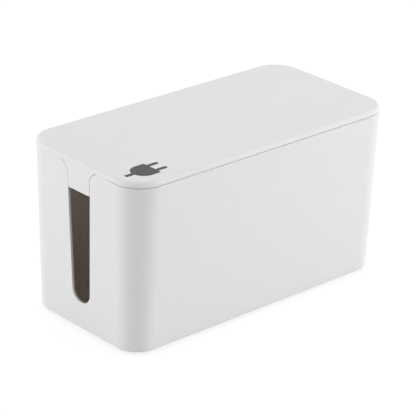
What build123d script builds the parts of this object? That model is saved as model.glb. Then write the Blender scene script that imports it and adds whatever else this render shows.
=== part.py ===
"""A cable management box: a moulded tub on four rubber feet, and a lid that lifts off.

The box stands on z = 0, centred on the origin. X runs along its length, and a cable slot
opens each end wall. The lid closes the wide top of each slot with a tab that fills it flush.
Lengths are in millimetres and angles in degrees.
"""
from build123d import *
import math
import os

# The box as a whole: its length and width are at the top, and the sides draw in towards the base
box_length = 236.0
box_width = 116.0
box_height = 124.5
corner_radius = 20.5
wall_draft = 1.7
wall = 1.9
floor = 2.6
base_edge_radius = 2.0
cavity_floor_radius = 3.0
crisp_edge_radius = 0.35

# The cable slot in each end wall: a round foot, sides that spread upwards, and a flared mouth
slot_mouth_width = 23.5
slot_foot_width = 18.2
slot_foot_height = 20.0
slot_flare_radius = 8.5

# The rim: the lid rests on it at the ends and the back, and it is a seam gap lower at the front
seam_gap = 0.35
front_rim_past_corner = 1.75
rim_ramp_run = 7.0
rim_ramp_radius = 60.0

# The lid, the lip that locates it inside the rim, and the tab that fills each slot's mouth
lid_edge_height = 4.15
lid_thickness = 2.4
lid_top_radius = 2.8
lip_clearance = 0.4
lip_thickness = 1.6
lip_depth = 4.5
lip_lead_in = 0.6
tab_clearance = 0.3
tab_depth = 18.3
tab_corner_radius = 0.8

# The two gussets that brace each tab against the underside of the lid
gusset_thickness = 1.6
gusset_spacing = 9.0
gusset_reach = 9.0
gusset_foot_gap = 4.0
gusset_embedding = 0.5

# The feet, and the recess and boss that hold each of them in the tub's floor
foot_stand = 2.5
foot_diameter = 12.0
foot_edge_radius = 0.9
foot_inset = 20.0
foot_recess_depth = 0.9
foot_recess_clearance = 0.2
foot_boss_height = 1.0
foot_boss_margin = 2.0

# Heights and insets worked out from the sizes above
top_height = foot_stand + box_height
rim_height = top_height - lid_edge_height
front_rim_height = rim_height - seam_gap
lid_under_height = top_height - lid_thickness
cavity_floor_height = foot_stand + floor
tab_low_height = rim_height - tab_depth
lip_low_height = rim_height - lip_depth
lip_outer_inset = wall + lip_clearance
lip_inner_inset = lip_outer_inset + lip_thickness

# How far a cutting shape runs past what it cuts, and how closely an edge is told by its place
cut_margin = 5.0
placing_tolerance = 0.01


def draw_in(height):
    """How far the draft has brought the sides in at a height."""
    return (top_height - height) * math.tan(math.radians(wall_draft))


def drafted_block(inset, low, high):
    """A block whose sides run parallel to the box's drafted skin, inset inside it."""
    shrink = inset + draw_in(high)
    outline = RectangleRounded(box_length - 2 * shrink, box_width - 2 * shrink, corner_radius - shrink)
    return extrude(Pos(0, 0, high) * outline, low - high, taper=wall_draft)


def skin_inset(point):
    """How far inside the box's drafted skin a point lies."""
    past_arc_x = abs(point.X) - (box_length / 2 - corner_radius)
    past_arc_y = abs(point.Y) - (box_width / 2 - corner_radius)
    reach = math.hypot(max(past_arc_x, 0), max(past_arc_y, 0)) + min(max(past_arc_x, past_arc_y), 0)
    return corner_radius - draw_in(point.Z) - reach


def ease_skin_edges(solid, inset, low, high):
    """Round off the moulded edges that lie at an inset from the skin, between two heights."""
    edges = [
        edge for edge in solid.edges()
        if abs(skin_inset(edge @ 0.5) - inset) < placing_tolerance
        and edge.bounding_box().min.Z > low
        and edge.bounding_box().max.Z < high + placing_tolerance
    ]
    return fillet(edges, crisp_edge_radius)


def slot_outline():
    """The slot with its flared mouth, seen along the box: its x is the box's Y, and its y is Z."""
    foot_radius = slot_foot_width / 2
    foot_centre = foot_stand + slot_foot_height + foot_radius
    half_mouth = slot_mouth_width / 2
    round_foot = Pos(0, foot_centre) * Circle(foot_radius)
    mouth_line = Line((-half_mouth, rim_height), (half_mouth, rim_height))
    slot = make_hull(round_foot.edges() + [mouth_line])
    above_rim = Pos(0, rim_height + cut_margin / 2) * Rectangle(box_width, cut_margin)
    outline = slot + above_rim
    mouth_corners = [
        corner for corner in outline.vertices()
        if abs(corner.Y - rim_height) < placing_tolerance
        and abs(abs(corner.X) - half_mouth) < placing_tolerance
    ]
    return fillet(mouth_corners, slot_flare_radius)


def run_through_both_ends(outline):
    """A shape seen along the box, run along X past both end walls."""
    return extrude(Plane.YZ * outline, box_length / 2 + cut_margin, both=True)


def space_above_rim():
    """All that lies above the rim, which ramps down by the seam gap before each front corner."""
    ramp_low_y = corner_radius + front_rim_past_corner - box_width / 2
    ramp_high_y = ramp_low_y + rim_ramp_run
    ceiling = top_height + cut_margin
    corners = [(-box_width, front_rim_height), (ramp_low_y, front_rim_height)]
    corners += [(ramp_high_y, rim_height), (box_width, rim_height)]
    corners += [(box_width, ceiling), (-box_width, ceiling)]
    space = make_face(Polyline(*corners, close=True))
    ramp_corners = [corner for corner in space.vertices() if abs(corner.X) < box_width]
    return run_through_both_ends(fillet(ramp_corners, rim_ramp_radius))


def disc(place, diameter, low, high):
    """An upright round block at a place in plan."""
    return extrude(Pos(*place, low) * Circle(diameter / 2), high - low)


def foot_places():
    """Each foot's name and its centre in plan."""
    reach_x = box_length / 2 - foot_inset
    reach_y = box_width / 2 - foot_inset
    return {
        "foot_front_left": (-reach_x, -reach_y),
        "foot_front_right": (reach_x, -reach_y),
        "foot_rear_left": (-reach_x, reach_y),
        "foot_rear_right": (reach_x, reach_y),
    }


def make_tub():
    """The open-topped casing: one wall all round, a slot in each end and a seat for each foot."""
    skin = drafted_block(0, foot_stand, top_height)
    tub = fillet(skin.edges().group_by(Axis.Z)[0], base_edge_radius)
    cavity = drafted_block(wall, cavity_floor_height, top_height + cut_margin)
    tub -= fillet(cavity.edges().group_by(Axis.Z)[0], cavity_floor_radius)
    tub -= space_above_rim()
    recess_diameter = foot_diameter + 2 * foot_recess_clearance
    boss_diameter = recess_diameter + 2 * foot_boss_margin
    boss_top = cavity_floor_height + foot_boss_height
    recess_top = foot_stand + foot_recess_depth
    for place in foot_places().values():
        tub += disc(place, boss_diameter, cavity_floor_height - floor / 2, boss_top)
        tub -= disc(place, recess_diameter, foot_stand - cut_margin, recess_top)
    tub -= run_through_both_ends(slot_outline())
    slot_side_low = foot_stand + slot_foot_height / 2
    tub = ease_skin_edges(tub, 0, slot_side_low, rim_height)
    return ease_skin_edges(tub, wall, slot_side_low, rim_height)


def make_tabs():
    """Both flush tabs with their flared cheeks, and the roots that join them to the lip."""
    tab_height = rim_height - tab_low_height
    window = Pos(0, tab_low_height + tab_height / 2) * Rectangle(box_width, tab_height)
    outline = offset(slot_outline(), -tab_clearance) & window
    outline = fillet(outline.vertices().group_by(Axis.Y)[0], tab_corner_radius)
    along_box = run_through_both_ends(outline)
    behind_wall = drafted_block(wall, tab_low_height, rim_height)
    tab_ring = drafted_block(0, tab_low_height, rim_height) - behind_wall
    root_ring = behind_wall - drafted_block(lip_inner_inset, tab_low_height, rim_height)
    root_ring &= drafted_block(0, lip_low_height, rim_height)
    return (along_box & tab_ring) + (along_box & root_ring)


def make_gussets():
    """The triangular braces behind both tabs."""
    foot_height = tab_low_height + gusset_foot_gap
    tab_back = box_length / 2 - wall - draw_in(foot_height) + gusset_embedding
    inner_end = box_length / 2 - lip_inner_inset - gusset_reach
    high = lid_under_height + gusset_embedding
    corners = [(tab_back, foot_height), (tab_back, high), (inner_end, high), (inner_end, lid_under_height)]
    side_view = make_face(Polyline(*corners, close=True))
    side_view += mirror(side_view, Plane.YZ)
    gusset = extrude(Plane.XZ * side_view, gusset_thickness / 2, both=True)
    return Pos(0, gusset_spacing / 2, 0) * gusset + Pos(0, -gusset_spacing / 2, 0) * gusset


def make_lid():
    """The cover: a plate with a rounded edge, a lip inside the rim and a tab at each end."""
    cover = drafted_block(0, rim_height, top_height)
    lid = fillet(cover.edges().group_by(Axis.Z)[-1], lid_top_radius)
    lip = drafted_block(lip_outer_inset, lip_low_height, rim_height)
    lid += chamfer(lip.edges().group_by(Axis.Z)[0], lip_lead_in)
    lid -= drafted_block(lip_inner_inset, lip_low_height - cut_margin, lid_under_height)
    lid += make_tabs()
    lid += make_gussets()
    return ease_skin_edges(lid, 0, 0, rim_height)


def make_foot(place):
    """A rubber disc that fills its recess and stands out below the tub."""
    foot = disc(place, foot_diameter, 0, foot_stand + foot_recess_depth)
    return fillet(foot.edges().group_by(Axis.Z)[0], foot_edge_radius)


pieces = {"tub": make_tub(), "lid": make_lid()}
for foot_name, foot_place in foot_places().items():
    pieces[foot_name] = make_foot(foot_place)

os.makedirs("parts", exist_ok=True)
for node, piece in pieces.items():
    export_step(piece, f"parts/{node}.step")
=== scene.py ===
"""Finishes for the cable management box: moulded plastic, a printed mark, rubber feet and a studio.

The box is loaded as a fixed frame, in metres, standing on z = 0 with its length along X. The tub,
the lid and the feet keep their own meshes and are given procedural finishes here. The mark on the
lid is an ink film of its own.
"""
import math
import bmesh
import bpy
from mathutils import Matrix, Vector


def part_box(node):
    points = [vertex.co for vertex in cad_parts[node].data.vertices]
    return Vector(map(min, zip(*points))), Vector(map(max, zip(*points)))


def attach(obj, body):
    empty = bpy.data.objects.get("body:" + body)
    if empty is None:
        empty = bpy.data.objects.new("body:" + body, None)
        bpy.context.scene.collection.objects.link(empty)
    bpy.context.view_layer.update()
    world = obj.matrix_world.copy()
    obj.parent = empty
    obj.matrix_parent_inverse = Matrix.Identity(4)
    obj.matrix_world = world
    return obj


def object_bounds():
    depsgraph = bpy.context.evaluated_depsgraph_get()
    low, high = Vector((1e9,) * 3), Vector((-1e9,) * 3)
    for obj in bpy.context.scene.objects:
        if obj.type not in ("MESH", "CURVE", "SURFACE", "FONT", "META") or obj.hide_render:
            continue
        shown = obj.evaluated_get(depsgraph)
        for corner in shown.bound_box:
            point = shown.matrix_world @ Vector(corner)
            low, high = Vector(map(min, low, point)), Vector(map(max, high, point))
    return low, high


bl_info = {
    "name": "Cable Box Finishes",
    "version": (1, 0, 0),
    "blender": (4, 5, 0),
    "location": "View3D > Sidebar > Cable Box",
    "description": "Finishes a cable management box and sets it on a studio floor",
    "category": "Object",
}

MM = 0.001
WHITE = (1, 1, 1, 1)
FOOT_NODES = ("foot_front_left", "foot_front_right", "foot_rear_left", "foot_rear_right")

# Depths below an outer face between which the skin's finish gives way to that of the inner faces, whose
# colour is a painted warm glow
SKIN_ENDS = 0.8 * MM
INSIDE_STARTS = 1.6 * MM
# How far above and below the middle of the tub's floor the finishes of its two faces blend
FLOOR_BLEND = 0.4 * MM

# Share of the moulded grain's height that the pits make, with fine noise as the rest, and the size
# of that noise as a share of a pit's
PIT_SHARE = 0.7
FINE_SIZE = 0.45
# Middle value of the soft noise, and the values of it between which smudges and dust come in
NOISE_MIDDLE = 0.5
SMUDGE_RANGE = (0.52, 0.74)
DUST_RANGE = (0.45, 0.75)

# Refractive index of each material
PLASTIC_IOR = 1.49
RUBBER_IOR = 1.52
INK_IOR = 1.5

# Steps along the mark's arcs: the corners beside the pins, the pin tips and each half of the back
CORNER_STEPS = 6
TIP_STEPS = 12
BACK_STEPS = 24

# The lamps: turn from straight in front and tilt above the horizon in degrees, distance and
# size in metres, power in watts
SOFTBOXES = (
    dict(name="left_softbox", turn=-124, tilt=12, distance=1.5, width=1.5, height=1.1, power=14.4),
    dict(name="right_softbox", turn=42, tilt=20, distance=1.5, width=1.5, height=1.3, power=15.05),
    dict(name="top_softbox", turn=0, tilt=90, distance=1.5, width=1.6, height=1.6, power=5.1),
    dict(name="rear_softbox", turn=137, tilt=32, distance=1.7, width=1.5, height=1.3, power=4.11),
)

# The camera's sensor width in millimetres, and the nearest and farthest that it shows, in metres
SENSOR_WIDTH = 36.0
CLIP_START = 0.05
CLIP_END = 60.0

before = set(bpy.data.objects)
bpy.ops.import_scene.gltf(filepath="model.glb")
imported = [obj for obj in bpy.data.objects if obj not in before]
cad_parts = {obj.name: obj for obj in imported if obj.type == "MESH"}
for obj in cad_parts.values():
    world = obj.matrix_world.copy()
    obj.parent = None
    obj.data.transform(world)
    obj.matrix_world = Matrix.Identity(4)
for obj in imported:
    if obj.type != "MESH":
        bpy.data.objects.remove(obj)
cad_low, cad_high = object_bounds()
tub_low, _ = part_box("tub")


# ---------------------------------------------------------------- settings


class CABLEBOX_PG_form(bpy.types.PropertyGroup):
    """Sizes of the mouldings that the finishes follow."""

    top_length: bpy.props.FloatProperty(
        name="Length at the top", description="Length of the drafted skin at the lid's top face",
        default=236 * MM, unit="LENGTH")
    top_width: bpy.props.FloatProperty(
        name="Width at the top", description="Width of the drafted skin at the lid's top face",
        default=116 * MM, unit="LENGTH")
    corner_radius: bpy.props.FloatProperty(
        name="Corner radius", description="Radius of the upright corners at the top, in plan",
        default=20.5 * MM, unit="LENGTH")
    wall_draft: bpy.props.FloatProperty(
        name="Wall draft", description="How far the walls lean out from upright",
        default=math.radians(1.7), unit="ROTATION")
    floor_thickness: bpy.props.FloatProperty(
        name="Floor thickness", description="Thickness of the tub's floor",
        default=2.6 * MM, unit="LENGTH")


class CABLEBOX_PG_plastic(bpy.types.PropertyGroup):
    """The plastic that the tub and the lid are moulded in."""

    colour: bpy.props.FloatVectorProperty(
        name="Colour", description="Colour of the moulded skin",
        subtype="COLOR", size=4, min=0, max=1, default=(0.79, 0.79, 0.79, 1))
    # Painted light: the inner faces are lighter and warmer than the skin. This painted warm glow stands
    # in for the light inside the shaded box, and the moulded plastic is the same white throughout
    inside_painted_glow: bpy.props.FloatVectorProperty(
        name="Inside colour", description="Colour of the unpolished faces inside the box",
        subtype="COLOR", size=4, min=0, max=1, default=(0.914, 0.864, 0.811, 1))
    lowest_tone: bpy.props.FloatProperty(
        name="Lowest tone", description="Share of the colour that its darkest spots have",
        subtype="FACTOR", min=0, max=1, default=0.988)
    roughness: bpy.props.FloatProperty(
        name="Roughness", description="How matt the satin skin is",
        subtype="FACTOR", min=0, max=1, default=0.5)
    inside_roughness: bpy.props.FloatProperty(
        name="Inside roughness", description="How matt the inner faces are",
        subtype="FACTOR", min=0, max=1, default=0.62)
    sheen: bpy.props.FloatProperty(
        name="Sheen", description="How strongly the skin reflects, where 0.5 is usual",
        subtype="FACTOR", min=0, max=1, default=0.2)
    grain_size: bpy.props.FloatProperty(
        name="Grain size", description="Width of one pit of the moulded texture",
        default=0.42 * MM, unit="LENGTH")
    grain_depth: bpy.props.FloatProperty(
        name="Grain depth", description="Depth of the moulded texture",
        default=0.009 * MM, unit="LENGTH")
    grain_tone: bpy.props.FloatProperty(
        name="Grain tone", description="How much the fine grain lightens the colour",
        subtype="FACTOR", min=0, max=1, default=0.006)
    pit_roughness: bpy.props.FloatProperty(
        name="Pit roughness", description="How much more matt the skin is between the pits",
        subtype="FACTOR", min=0, max=1, default=0.03)
    wave_size: bpy.props.FloatProperty(
        name="Wave size", description="Length of the slow unevenness left by shrinkage",
        default=34 * MM, unit="LENGTH")
    wave_depth: bpy.props.FloatProperty(
        name="Wave depth", description="Depth of the slow unevenness",
        default=0.035 * MM, unit="LENGTH")
    cloud_size: bpy.props.FloatProperty(
        name="Cloud size", description="Width of the faint clouds in the plastic",
        default=21 * MM, unit="LENGTH")
    cloud_tone: bpy.props.FloatProperty(
        name="Cloud tone", description="How much the clouds lighten the colour",
        subtype="FACTOR", min=0, max=1, default=0.016)
    cloud_roughness: bpy.props.FloatProperty(
        name="Cloud roughness", description="How much the clouds change the roughness",
        subtype="FACTOR", min=0, max=1, default=0.07)
    smudge_size: bpy.props.FloatProperty(
        name="Smudge size", description="Width of the places that hands have smoothed",
        default=47 * MM, unit="LENGTH")
    smudge_polish: bpy.props.FloatProperty(
        name="Smudge polish", description="How much less matt the smoothed places are",
        subtype="FACTOR", min=0, max=1, default=0.05)


class CABLEBOX_PG_rubber(bpy.types.PropertyGroup):
    """The rubber of the feet."""

    colour: bpy.props.FloatVectorProperty(
        name="Colour", description="Colour of the clean rubber",
        subtype="COLOR", size=4, min=0, max=1, default=(0.028, 0.028, 0.03, 1))
    roughness: bpy.props.FloatProperty(
        name="Roughness", description="How matt the clean rubber is",
        subtype="FACTOR", min=0, max=1, default=0.78)
    sheen: bpy.props.FloatProperty(
        name="Sheen", description="How strongly the rubber reflects, where 0.5 is usual",
        subtype="FACTOR", min=0, max=1, default=0.5)
    grain_size: bpy.props.FloatProperty(
        name="Grain size", description="Width of one bump of the rubber's surface",
        default=0.6 * MM, unit="LENGTH")
    grain_depth: bpy.props.FloatProperty(
        name="Grain depth", description="Height of the rubber's bumps",
        default=0.03 * MM, unit="LENGTH")
    grain_polish: bpy.props.FloatProperty(
        name="Grain polish", description="How much less matt the bumps are",
        subtype="FACTOR", min=0, max=1, default=0.06)
    dust_colour: bpy.props.FloatVectorProperty(
        name="Dust colour", description="Colour of the dust that the rubber holds",
        subtype="COLOR", size=4, min=0, max=1, default=(0.11, 0.105, 0.1, 1))
    dust_size: bpy.props.FloatProperty(
        name="Dust size", description="Width of a dusty place",
        default=4 * MM, unit="LENGTH")
    dust_cover: bpy.props.FloatProperty(
        name="Dust cover", description="How much of the rubber's colour the dust hides",
        subtype="FACTOR", min=0, max=1, default=0.5)
    dust_roughness: bpy.props.FloatProperty(
        name="Dust roughness", description="How much more matt the dusty places are",
        subtype="FACTOR", min=0, max=1, default=0.12)


class CABLEBOX_PG_mark(bpy.types.PropertyGroup):
    """The plain plug sign printed on a corner of the lid."""

    place_x: bpy.props.FloatProperty(
        name="Place along the box", description="Middle of the plug's body, along the box",
        default=-96.2 * MM, unit="LENGTH")
    place_y: bpy.props.FloatProperty(
        name="Place across the box", description="Middle of the plug's body, across the box",
        default=-39.4 * MM, unit="LENGTH")
    body_length: bpy.props.FloatProperty(
        name="Body length", description="Length of the plug's body along the box",
        default=16.6 * MM, unit="LENGTH")
    body_width: bpy.props.FloatProperty(
        name="Body width", description="Width of the plug's body, and of its round back",
        default=17.6 * MM, unit="LENGTH")
    body_corner: bpy.props.FloatProperty(
        name="Body corner", description="Radius of the two corners beside the pins",
        default=1.2 * MM, unit="LENGTH")
    pin_length: bpy.props.FloatProperty(
        name="Pin length", description="How far the pins reach from the body",
        default=8.6 * MM, unit="LENGTH")
    pin_spacing: bpy.props.FloatProperty(
        name="Pin spacing", description="Distance between the middles of the pins",
        default=8.8 * MM, unit="LENGTH")
    lead_length: bpy.props.FloatProperty(
        name="Lead length", description="How far the lead reaches from the body",
        default=6.4 * MM, unit="LENGTH")
    stroke_width: bpy.props.FloatProperty(
        name="Stroke width", description="Width of the pins and of the lead",
        default=3.3 * MM, unit="LENGTH")
    film: bpy.props.FloatProperty(
        name="Film thickness", description="How far the ink stands above the lid",
        default=0.02 * MM, unit="LENGTH")
    ink_colour: bpy.props.FloatVectorProperty(
        name="Ink colour", description="Colour of the printing ink",
        subtype="COLOR", size=4, min=0, max=1, default=(0.042, 0.044, 0.048, 1))
    lowest_tone: bpy.props.FloatProperty(
        name="Lowest tone", description="Share of the colour that the thickest ink has",
        subtype="FACTOR", min=0, max=1, default=0.9)
    ink_roughness: bpy.props.FloatProperty(
        name="Ink roughness", description="How matt the smoothest ink is",
        subtype="FACTOR", min=0, max=1, default=0.52)
    ink_sheen: bpy.props.FloatProperty(
        name="Ink sheen", description="How strongly the ink reflects, where 0.5 is usual",
        subtype="FACTOR", min=0, max=1, default=0.35)
    screen_size: bpy.props.FloatProperty(
        name="Screen size", description="Width of the unevenness that the printing screen leaves",
        default=0.5 * MM, unit="LENGTH")
    screen_depth: bpy.props.FloatProperty(
        name="Screen depth", description="Height of the unevenness that the printing screen leaves",
        default=0.004 * MM, unit="LENGTH")
    screen_tone: bpy.props.FloatProperty(
        name="Screen tone", description="How much the screen's unevenness lightens the ink",
        subtype="FACTOR", min=0, max=1, default=0.06)
    screen_roughness: bpy.props.FloatProperty(
        name="Screen roughness", description="How much more matt the screen's unevenness is",
        subtype="FACTOR", min=0, max=1, default=0.12)
    cloud_size: bpy.props.FloatProperty(
        name="Cloud size", description="Width of the thinner places in the ink",
        default=6 * MM, unit="LENGTH")
    cloud_tone: bpy.props.FloatProperty(
        name="Cloud tone", description="How much lighter the thinner places are",
        subtype="FACTOR", min=0, max=1, default=0.14)


class CABLEBOX_PG_stage(bpy.types.PropertyGroup):
    """The studio: floor, lamps and camera."""

    floor_size: bpy.props.FloatProperty(
        name="Floor size", description="Side of the square floor",
        default=30.0, unit="LENGTH")
    floor_colour: bpy.props.FloatVectorProperty(
        name="Floor colour", description="Colour of the studio floor",
        subtype="COLOR", size=4, min=0, max=1, default=(0.82, 0.82, 0.82, 1))
    floor_roughness: bpy.props.FloatProperty(
        name="Floor roughness", description="How matt the studio floor is",
        subtype="FACTOR", min=0, max=1, default=0.9)
    floor_sheen: bpy.props.FloatProperty(
        name="Floor sheen", description="How strongly the floor reflects, where 0.5 is usual",
        subtype="FACTOR", min=0, max=1, default=0.1)
    lowest_tone: bpy.props.FloatProperty(
        name="Lowest tone", description="Share of the floor's colour that its darkest spots have",
        subtype="FACTOR", min=0, max=1, default=0.985)
    fibre_size: bpy.props.FloatProperty(
        name="Fibre size", description="Width of the floor paper's faint flecks",
        default=20 * MM, unit="LENGTH")
    fibre_tone: bpy.props.FloatProperty(
        name="Fibre tone", description="How much the flecks lighten the floor",
        subtype="FACTOR", min=0, max=1, default=0.02)
    glow: bpy.props.FloatProperty(
        name="Glow", description="How bright the floor's white glow is where it is seen, 1 being white",
        default=1.2)
    glow_share: bpy.props.FloatProperty(
        name="Glow share", description="Share of the glow in the floor near the box",
        subtype="FACTOR", min=0, max=1, default=0.66)
    white_from: bpy.props.FloatProperty(
        name="White from", description="Distance at which the floor starts to turn to pure glow",
        default=0.8, unit="LENGTH")
    white_beyond: bpy.props.FloatProperty(
        name="White beyond", description="Distance from which the floor is pure glow",
        default=1.8, unit="LENGTH")
    fill: bpy.props.FloatProperty(
        name="Fill", description="Strength of the even light that comes from all round",
        subtype="FACTOR", min=0, max=1, default=0.39)
    view_turn: bpy.props.FloatProperty(
        name="View turn", description="Turn of the camera round the box, from straight in front",
        default=math.radians(-42.773), unit="ROTATION")
    view_tilt: bpy.props.FloatProperty(
        name="View tilt", description="Height of the camera above the horizon",
        default=math.radians(23.981), unit="ROTATION")
    view_roll: bpy.props.FloatProperty(
        name="View roll", description="Turn of the camera about its own line of sight",
        default=math.radians(1.671), unit="ROTATION")
    view_distance: bpy.props.FloatProperty(
        name="View distance", description="Distance from the camera to the point aimed at",
        default=1502.731 * MM, unit="LENGTH")
    aim: bpy.props.FloatVectorProperty(
        name="Aim", description="Point at the middle of the picture",
        subtype="TRANSLATION", unit="LENGTH", size=3, default=(-11.452 * MM, -10.87 * MM, 67.203 * MM))
    focal_length: bpy.props.FloatProperty(
        name="Focal length", description="Focal length of the lens, in millimetres",
        default=188.527)


class CABLEBOX_PG_settings(bpy.types.PropertyGroup):
    """All the settings of the cable box."""

    form: bpy.props.PointerProperty(type=CABLEBOX_PG_form)
    plastic: bpy.props.PointerProperty(type=CABLEBOX_PG_plastic)
    rubber: bpy.props.PointerProperty(type=CABLEBOX_PG_rubber)
    mark: bpy.props.PointerProperty(type=CABLEBOX_PG_mark)
    stage: bpy.props.PointerProperty(type=CABLEBOX_PG_stage)


# ---------------------------------------------------------------- making a finish


class Field:
    """A value on a surface. Arithmetic on it adds Math nodes to the finish that it belongs to."""

    def __init__(self, finish, socket):
        self.finish = finish
        self.socket = socket

    def __add__(self, other):
        return self.finish.math("ADD", self, other)

    __radd__ = __add__

    def __sub__(self, other):
        return self.finish.math("SUBTRACT", self, other)

    def __rsub__(self, other):
        return self.finish.math("SUBTRACT", other, self)

    def __mul__(self, other):
        return self.finish.math("MULTIPLY", self, other)

    __rmul__ = __mul__

    def __pow__(self, other):
        return self.finish.math("POWER", self, other)

    def __abs__(self):
        return self.finish.math("ABSOLUTE", self)

    def at_least(self, other):
        """The larger of this value and another."""
        return self.finish.math("MAXIMUM", self, other)

    def at_most(self, other):
        """The smaller of this value and another."""
        return self.finish.math("MINIMUM", self, other)

    def beside(self, name):
        """Another output of the node that this value comes from."""
        return Field(self.finish, self.socket.node.outputs[name])


class Finish:
    """The nodes of a material or of the world, with the one method that adds a node to them."""

    # Numbers of the Mix node's sockets for colours, because their names are not theirs alone
    MIX_SHARE = 0
    MIX_FIRST = 6
    MIX_SECOND = 7
    MIX_RESULT = 2

    def __init__(self, owner):
        self.owner = owner
        owner.use_nodes = True
        self.tree = owner.node_tree
        self.tree.nodes.clear()

    def node(self, kind, settings=None, inputs=None, output=0):
        """Add a node: its settings are set first, then the values or links of its sockets."""
        node = self.tree.nodes.new(kind)
        for name, value in (settings or {}).items():
            setattr(node, name, value)
        for name, value in (inputs or {}).items():
            if isinstance(value, Field):
                self.tree.links.new(value.socket, node.inputs[name])
            else:
                node.inputs[name].default_value = value
        return Field(self, node.outputs[output] if node.outputs else None)

    def math(self, operation, first, second=0.0):
        """A sum, product or the like of two values."""
        return self.node("ShaderNodeMath", {"operation": operation}, {0: first, 1: second})

    def place(self):
        """Where a point of the surface lies, in its piece's own metres."""
        return self.node("ShaderNodeTexCoord", output="Object")

    def noise(self, place, size, detail, roughness, distortion=0.0):
        """Soft noise between 0 and 1, whose features are about one size across."""
        inputs = {"Vector": place, "Scale": 1 / size, "Detail": detail,
                  "Roughness": roughness, "Distortion": distortion}
        return self.node("ShaderNodeTexNoise", None, inputs)

    def pits(self, place, size):
        """Softened distance from the nearest of scattered points, which lie about one size apart."""
        inputs = {"Vector": place, "Scale": 1 / size}
        return self.node("ShaderNodeTexVoronoi", {"feature": "SMOOTH_F1"}, inputs)

    def step(self, value, low, high):
        """A smooth step from 0 to 1 as a value goes from low to high."""
        inputs = {"Value": value, "From Min": low, "From Max": high}
        return self.node("ShaderNodeMapRange", {"interpolation_type": "SMOOTHSTEP"}, inputs)

    def mix(self, share, first, second):
        """A colour between two colours."""
        inputs = {self.MIX_SHARE: share, self.MIX_FIRST: first, self.MIX_SECOND: second}
        return self.node("ShaderNodeMix", {"data_type": "RGBA"}, inputs, self.MIX_RESULT)

    def scale(self, colour, factor):
        """A colour made lighter or darker by a factor."""
        return self.node("ShaderNodeVectorMath", {"operation": "SCALE"}, {0: colour, "Scale": factor})

    def length(self, vector):
        """How long a vector is."""
        return self.node("ShaderNodeVectorMath", {"operation": "LENGTH"}, {0: vector}, "Value")

    def bump(self, height):
        """The normal of a surface that rises by a height in metres."""
        return self.node("ShaderNodeBump", None, {"Strength": 1.0, "Distance": 1.0, "Height": height})

    def solid(self, colour, roughness, normal, ior, sheen):
        """The shader of an opaque solid. Its refractive index and its sheen are plain numbers."""
        inputs = {"Base Color": colour, "Roughness": roughness, "Normal": normal,
                  "IOR": ior, "Specular IOR Level": sheen}
        return self.node("ShaderNodeBsdfPrincipled", None, inputs)

    def mix_shaders(self, share, first, second):
        """A shader between two shaders. Their sockets go by number, because they share a name."""
        return self.node("ShaderNodeMixShader", None, {0: share, 1: first, 2: second})

    def surface(self, shader, kind="ShaderNodeOutputMaterial"):
        """Make a shader the one that is shown."""
        self.node(kind, None, {"Surface": shader})
        return self.owner


def new_material(name):
    """An empty material, ready for its nodes."""
    return Finish(bpy.data.materials.new(name))


def skin_inset(x, y, z, form):
    """How far inside the box's drafted skin a point lies."""
    drawn_in = (cad_high.z - z) * math.tan(form.wall_draft)
    past_x = abs(x) - (form.top_length / 2 - form.corner_radius)
    past_y = abs(y) - (form.top_width / 2 - form.corner_radius)
    outside_x = past_x.at_least(0)
    outside_y = past_y.at_least(0)
    round_corner = (outside_x * outside_x + outside_y * outside_y) ** 0.5
    reach = round_corner + past_x.at_least(past_y).at_most(0)
    return form.corner_radius - drawn_in - reach


def past_skin(depth):
    """0 in the skin and 1 deeper below an outer face than the skin goes, with a smooth step between."""
    return depth.finish.step(depth, SKIN_ENDS, INSIDE_STARTS)


def moulded_plastic(name, form, plastic, within):
    """Satin moulded plastic. within turns a point's inset and height into the share of inner skin,
    which takes a lighter, warmer colour as painted light.
    """
    finish = new_material(name)
    place = finish.place()
    x = finish.node("ShaderNodeSeparateXYZ", None, {"Vector": place})
    y = x.beside("Y")
    z = x.beside("Z")
    inside = within(skin_inset(x, y, z, form), z)
    pits = finish.pits(place, plastic.grain_size)
    fine = finish.noise(place, plastic.grain_size * FINE_SIZE, detail=2.0, roughness=0.6)
    wave = finish.noise(place, plastic.wave_size, detail=1.5, roughness=0.4)
    cloud = finish.noise(place, plastic.cloud_size, detail=4.0, roughness=0.55, distortion=0.4)
    handled = finish.noise(place, plastic.smudge_size, detail=3.0, roughness=0.6, distortion=0.8)
    smudge = finish.step(handled, *SMUDGE_RANGE)
    # Inner faces get the painted warm glow in place of the skin's own colour
    skin = finish.mix(inside, plastic.colour, plastic.inside_painted_glow)
    tone = plastic.lowest_tone + cloud * plastic.cloud_tone + fine * plastic.grain_tone
    roughness = plastic.roughness + inside * (plastic.inside_roughness - plastic.roughness)
    roughness += (cloud - NOISE_MIDDLE) * plastic.cloud_roughness
    roughness -= smudge * plastic.smudge_polish
    roughness += pits * plastic.pit_roughness
    grain = (pits * PIT_SHARE + fine * (1 - PIT_SHARE)) * plastic.grain_depth
    normal = finish.bump(grain + wave * plastic.wave_depth)
    shader = finish.solid(finish.scale(skin, tone), roughness, normal, PLASTIC_IOR, plastic.sheen)
    return finish.surface(shader)


def give_finish(node_name, material):
    """Put a finish on a node that keeps its own mesh."""
    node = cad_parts[node_name]
    for slot in node.material_slots:
        slot.material = material


# ---------------------------------------------------------------- pieces


class CABLEBOX_OT_tub(bpy.types.Operator):
    """Finish the tub in satin moulded plastic, with plainer faces inside that carry a painted warm
    glow.
    """

    bl_idname = "cable_box.tub"
    bl_label = "Finish the tub"

    def execute(self, context):
        settings = context.scene.cable_box
        floor_middle = tub_low.z + settings.form.floor_thickness / 2

        def within(inset, z):
            above_floor = z.finish.step(z, floor_middle - FLOOR_BLEND, floor_middle + FLOOR_BLEND)
            return past_skin(inset) * above_floor

        material = moulded_plastic("tub_plastic", settings.form, settings.plastic, within)
        give_finish("tub", material)
        return {"FINISHED"}


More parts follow.
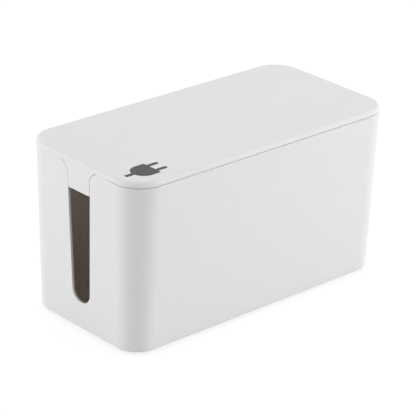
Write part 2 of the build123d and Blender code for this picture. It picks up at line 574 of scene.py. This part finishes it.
class CABLEBOX_OT_lid(bpy.types.Operator):
    """Finish the lid in the same plastic, with plainer faces underneath that carry a painted warm glow.
    """

    bl_idname = "cable_box.lid"
    bl_label = "Finish the lid"

    def execute(self, context):
        settings = context.scene.cable_box

        def within(inset, z):
            return past_skin(inset) * past_skin(cad_high.z - z)

        material = moulded_plastic("lid_plastic", settings.form, settings.plastic, within)
        give_finish("lid", material)
        return {"FINISHED"}


class CABLEBOX_OT_feet(bpy.types.Operator):
    """Finish the four feet in dull black rubber that holds a little dust."""

    bl_idname = "cable_box.feet"
    bl_label = "Finish the feet"

    def execute(self, context):
        rubber = context.scene.cable_box.rubber
        finish = new_material("foot_rubber_finish")
        place = finish.place()
        grain = finish.noise(place, rubber.grain_size, detail=3.0, roughness=0.6)
        spots = finish.noise(place, rubber.dust_size, detail=4.0, roughness=0.6, distortion=0.5)
        dusty = finish.step(spots, *DUST_RANGE)
        colour = finish.mix(dusty * rubber.dust_cover, rubber.colour, rubber.dust_colour)
        roughness = rubber.roughness + dusty * rubber.dust_roughness - grain * rubber.grain_polish
        normal = finish.bump(grain * rubber.grain_depth)
        material = finish.surface(finish.solid(colour, roughness, normal, RUBBER_IOR, rubber.sheen))
        for name in FOOT_NODES:
            give_finish(name, material)
        return {"FINISHED"}


def arc(centre, radius, start, end, steps):
    """Points along an arc in plan, from one angle in degrees to another."""
    points = []
    for i in range(steps + 1):
        angle = math.radians(start + (end - start) * i / steps)
        points.append((centre[0] + radius * math.cos(angle), centre[1] + radius * math.sin(angle)))
    return points


def plug_outline(mark):
    """The plug's outline about the middle of its body: a round back with a lead, and two pins."""
    half = mark.body_width / 2
    front = mark.body_length / 2
    back = (half - front, 0)
    soft = mark.body_corner
    half_stroke = mark.stroke_width / 2
    lead_turn = math.degrees(math.asin(half_stroke / half))
    lead_end = -front - mark.lead_length
    pin_tip = front + mark.pin_length - half_stroke
    ring = arc((front - soft, soft - half), soft, -90, 0, CORNER_STEPS)
    for pin_y in (-mark.pin_spacing / 2, mark.pin_spacing / 2):
        ring.append((front, pin_y - half_stroke))
        ring += arc((pin_tip, pin_y), half_stroke, -90, 90, TIP_STEPS)
        ring.append((front, pin_y + half_stroke))
    ring += arc((front - soft, half - soft), soft, 0, 90, CORNER_STEPS)
    ring += arc(back, half, 90, 180 - lead_turn, BACK_STEPS)
    ring += [(lead_end, half_stroke), (lead_end, -half_stroke)]
    ring += arc(back, half, 180 + lead_turn, 270, BACK_STEPS)
    return ring


class CABLEBOX_OT_mark(bpy.types.Operator):
    """Print a plain plug sign on the lid as a thin film of ink."""

    bl_idname = "cable_box.mark"
    bl_label = "Print the plug sign"

    def execute(self, context):
        mark = context.scene.cable_box.mark
        piece = bpy.data.objects.new("plug_mark", self.make_film(mark))
        context.scene.collection.objects.link(piece)
        piece.data.materials.append(self.make_ink(mark))
        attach(piece, "cover")
        return {"FINISHED"}

    def make_film(self, mark):
        """The film's mesh, which reaches half its thickness into the lid so that no gap shows."""
        outline = [(mark.place_x + x, mark.place_y + y) for x, y in plug_outline(mark)]
        bm = bmesh.new()
        lower = [bm.verts.new((x, y, cad_high.z - mark.film / 2)) for x, y in outline]
        upper = [bm.verts.new((x, y, cad_high.z + mark.film)) for x, y in outline]
        bm.faces.new(reversed(lower))
        bm.faces.new(upper)
        for i in range(len(outline)):
            bm.faces.new((lower[i - 1], lower[i], upper[i], upper[i - 1]))
        mesh = bpy.data.meshes.new("plug_mark")
        bm.to_mesh(mesh)
        bm.free()
        return mesh

    def make_ink(self, mark):
        """Matt dark grey ink with the faint unevenness of a screen print."""
        finish = new_material("mark_ink")
        place = finish.place()
        screen = finish.noise(place, mark.screen_size, detail=3.0, roughness=0.6)
        cloud = finish.noise(place, mark.cloud_size, detail=3.0, roughness=0.5)
        tone = mark.lowest_tone + cloud * mark.cloud_tone + screen * mark.screen_tone
        colour = finish.scale(tuple(mark.ink_colour)[:3], tone)
        roughness = mark.ink_roughness + screen * mark.screen_roughness
        normal = finish.bump(screen * mark.screen_depth)
        return finish.surface(finish.solid(colour, roughness, normal, INK_IOR, mark.ink_sheen))


# ---------------------------------------------------------------- studio


def direction(turn, tilt):
    """The direction that lies at a turn round the box, from straight in front, and a tilt."""
    return Vector((math.sin(turn) * math.cos(tilt), -math.cos(turn) * math.cos(tilt), math.sin(tilt)))


def add_softbox(scene, name, turn, tilt, distance, width, height, power):
    """Add a rectangular lamp that faces the middle of the box."""
    data = bpy.data.lights.new(name, "AREA")
    data.shape = "RECTANGLE"
    data.size = width
    data.size_y = height
    data.energy = power
    lamp = bpy.data.objects.new(name, data)
    outward = direction(math.radians(turn), math.radians(tilt))
    lamp.location = (cad_low + cad_high) / 2 + outward * distance
    lamp.rotation_mode = "QUATERNION"
    lamp.rotation_quaternion = outward.to_track_quat("Z", "Y")
    scene.collection.objects.link(lamp)


def seen_directly(finish):
    """1 for rays that show a background: from the camera, off gloss or through glass."""
    path = finish.node("ShaderNodeLightPath", output="Is Camera Ray")
    return path.at_least(path.beside("Is Glossy Ray")).at_least(path.beside("Is Transmission Ray"))


class CABLEBOX_OT_stage(bpy.types.Operator):
    """Set the box on a pale floor under soft lamps, and aim the camera."""

    bl_idname = "cable_box.stage"
    bl_label = "Set the stage"

    def execute(self, context):
        scene = context.scene
        stage = scene.cable_box.stage
        self.lay_floor(scene, stage)
        self.light_world(scene, stage)
        for softbox in SOFTBOXES:
            add_softbox(scene, **softbox)
        self.aim_camera(scene, stage)
        scene.view_settings.view_transform = "Standard"
        return {"FINISHED"}

    def lay_floor(self, scene, stage):
        """A large pale floor that shows white and keeps a faint shadow of the box."""
        bm = bmesh.new()
        bmesh.ops.create_grid(bm, x_segments=1, y_segments=1, size=stage.floor_size / 2)
        mesh = bpy.data.meshes.new("studio_floor")
        bm.to_mesh(mesh)
        bm.free()
        floor = bpy.data.objects.new("studio_floor", mesh)
        scene.collection.objects.link(floor)
        mesh.materials.append(self.make_paper(stage))

    def make_paper(self, stage):
        """Matt paper that glows white where it is seen: in part near the box, and wholly far away."""
        finish = new_material("floor_paper")
        place = finish.place()
        fibre = finish.noise(place, stage.fibre_size, detail=4.0, roughness=0.6)
        tone = stage.lowest_tone + fibre * stage.fibre_tone
        inputs = {
            "Base Color": finish.scale(tuple(stage.floor_colour)[:3], tone),
            "Roughness": stage.floor_roughness,
            "Specular IOR Level": stage.floor_sheen,
        }
        matt = finish.node("ShaderNodeBsdfPrincipled", None, inputs)
        glow = finish.node("ShaderNodeEmission", None, {"Color": WHITE, "Strength": stage.glow})
        far = finish.step(finish.length(place), stage.white_from, stage.white_beyond)
        share = seen_directly(finish) * (stage.glow_share + far * (1 - stage.glow_share))
        return finish.surface(finish.mix_shaders(share, matt, glow))

    def light_world(self, scene, stage):
        """An even world: white where it is seen, and a soft fill on the box."""
        scene.world = bpy.data.worlds.new("studio_world")
        finish = Finish(scene.world)
        strength = stage.fill + seen_directly(finish) * (1 - stage.fill)
        background = finish.node("ShaderNodeBackground", None, {"Color": WHITE, "Strength": strength})
        finish.surface(background, "ShaderNodeOutputWorld")

    def aim_camera(self, scene, stage):
        """A long lens on the box's front left corner."""
        data = bpy.data.cameras.new("studio_camera")
        data.lens = stage.focal_length
        data.sensor_width = SENSOR_WIDTH
        data.clip_start = CLIP_START
        data.clip_end = CLIP_END
        camera = bpy.data.objects.new("studio_camera", data)
        back = direction(stage.view_turn, stage.view_tilt)
        right = Vector((math.cos(stage.view_turn), math.sin(stage.view_turn), 0))
        upward = back.cross(right)
        cos_roll = math.cos(stage.view_roll)
        sin_roll = math.sin(stage.view_roll)
        rolled_right = right * cos_roll + upward * sin_roll
        rolled_up = upward * cos_roll - right * sin_roll
        turn = Matrix((rolled_right, rolled_up, back)).transposed()
        place = Vector(stage.aim) + back * stage.view_distance
        camera.matrix_world = Matrix.Translation(place) @ turn.to_4x4()
        scene.collection.objects.link(camera)
        scene.camera = camera


# ---------------------------------------------------------------- sidebar and start


class CABLEBOX_PT_panel(bpy.types.Panel):
    """Lists what can be made, in order, and then the settings."""

    bl_idname = "CABLEBOX_PT_panel"
    bl_label = "Cable Box"
    bl_space_type = "VIEW_3D"
    bl_region_type = "UI"
    bl_category = "Cable Box"

    def draw(self, context):
        for operator in OPERATORS:
            self.layout.operator(operator.bl_idname)
        settings = context.scene.cable_box
        for group in (settings.form, settings.plastic, settings.rubber, settings.mark, settings.stage):
            box = self.layout.box()
            for name in group.bl_rna.properties.keys():
                if name not in ("rna_type", "name"):
                    box.prop(group, name)


GROUPS = (CABLEBOX_PG_form, CABLEBOX_PG_plastic, CABLEBOX_PG_rubber, CABLEBOX_PG_mark,
          CABLEBOX_PG_stage, CABLEBOX_PG_settings)
OPERATORS = (CABLEBOX_OT_tub, CABLEBOX_OT_lid, CABLEBOX_OT_feet, CABLEBOX_OT_mark, CABLEBOX_OT_stage)


def register():
    """Add the settings, the operators and the panel to Blender."""
    for cls in (*GROUPS, *OPERATORS, CABLEBOX_PT_panel):
        bpy.utils.register_class(cls)
    bpy.types.Scene.cable_box = bpy.props.PointerProperty(type=CABLEBOX_PG_settings)


def unregister():
    """Take them away again."""
    del bpy.types.Scene.cable_box
    for cls in reversed((*GROUPS, *OPERATORS, CABLEBOX_PT_panel)):
        bpy.utils.unregister_class(cls)


def main():
    """Make everything in order."""
    register()
    bpy.ops.cable_box.tub()
    bpy.ops.cable_box.lid()
    bpy.ops.cable_box.feet()
    bpy.ops.cable_box.mark()
    bpy.ops.cable_box.stage()


if __name__ == "__main__":
    main()
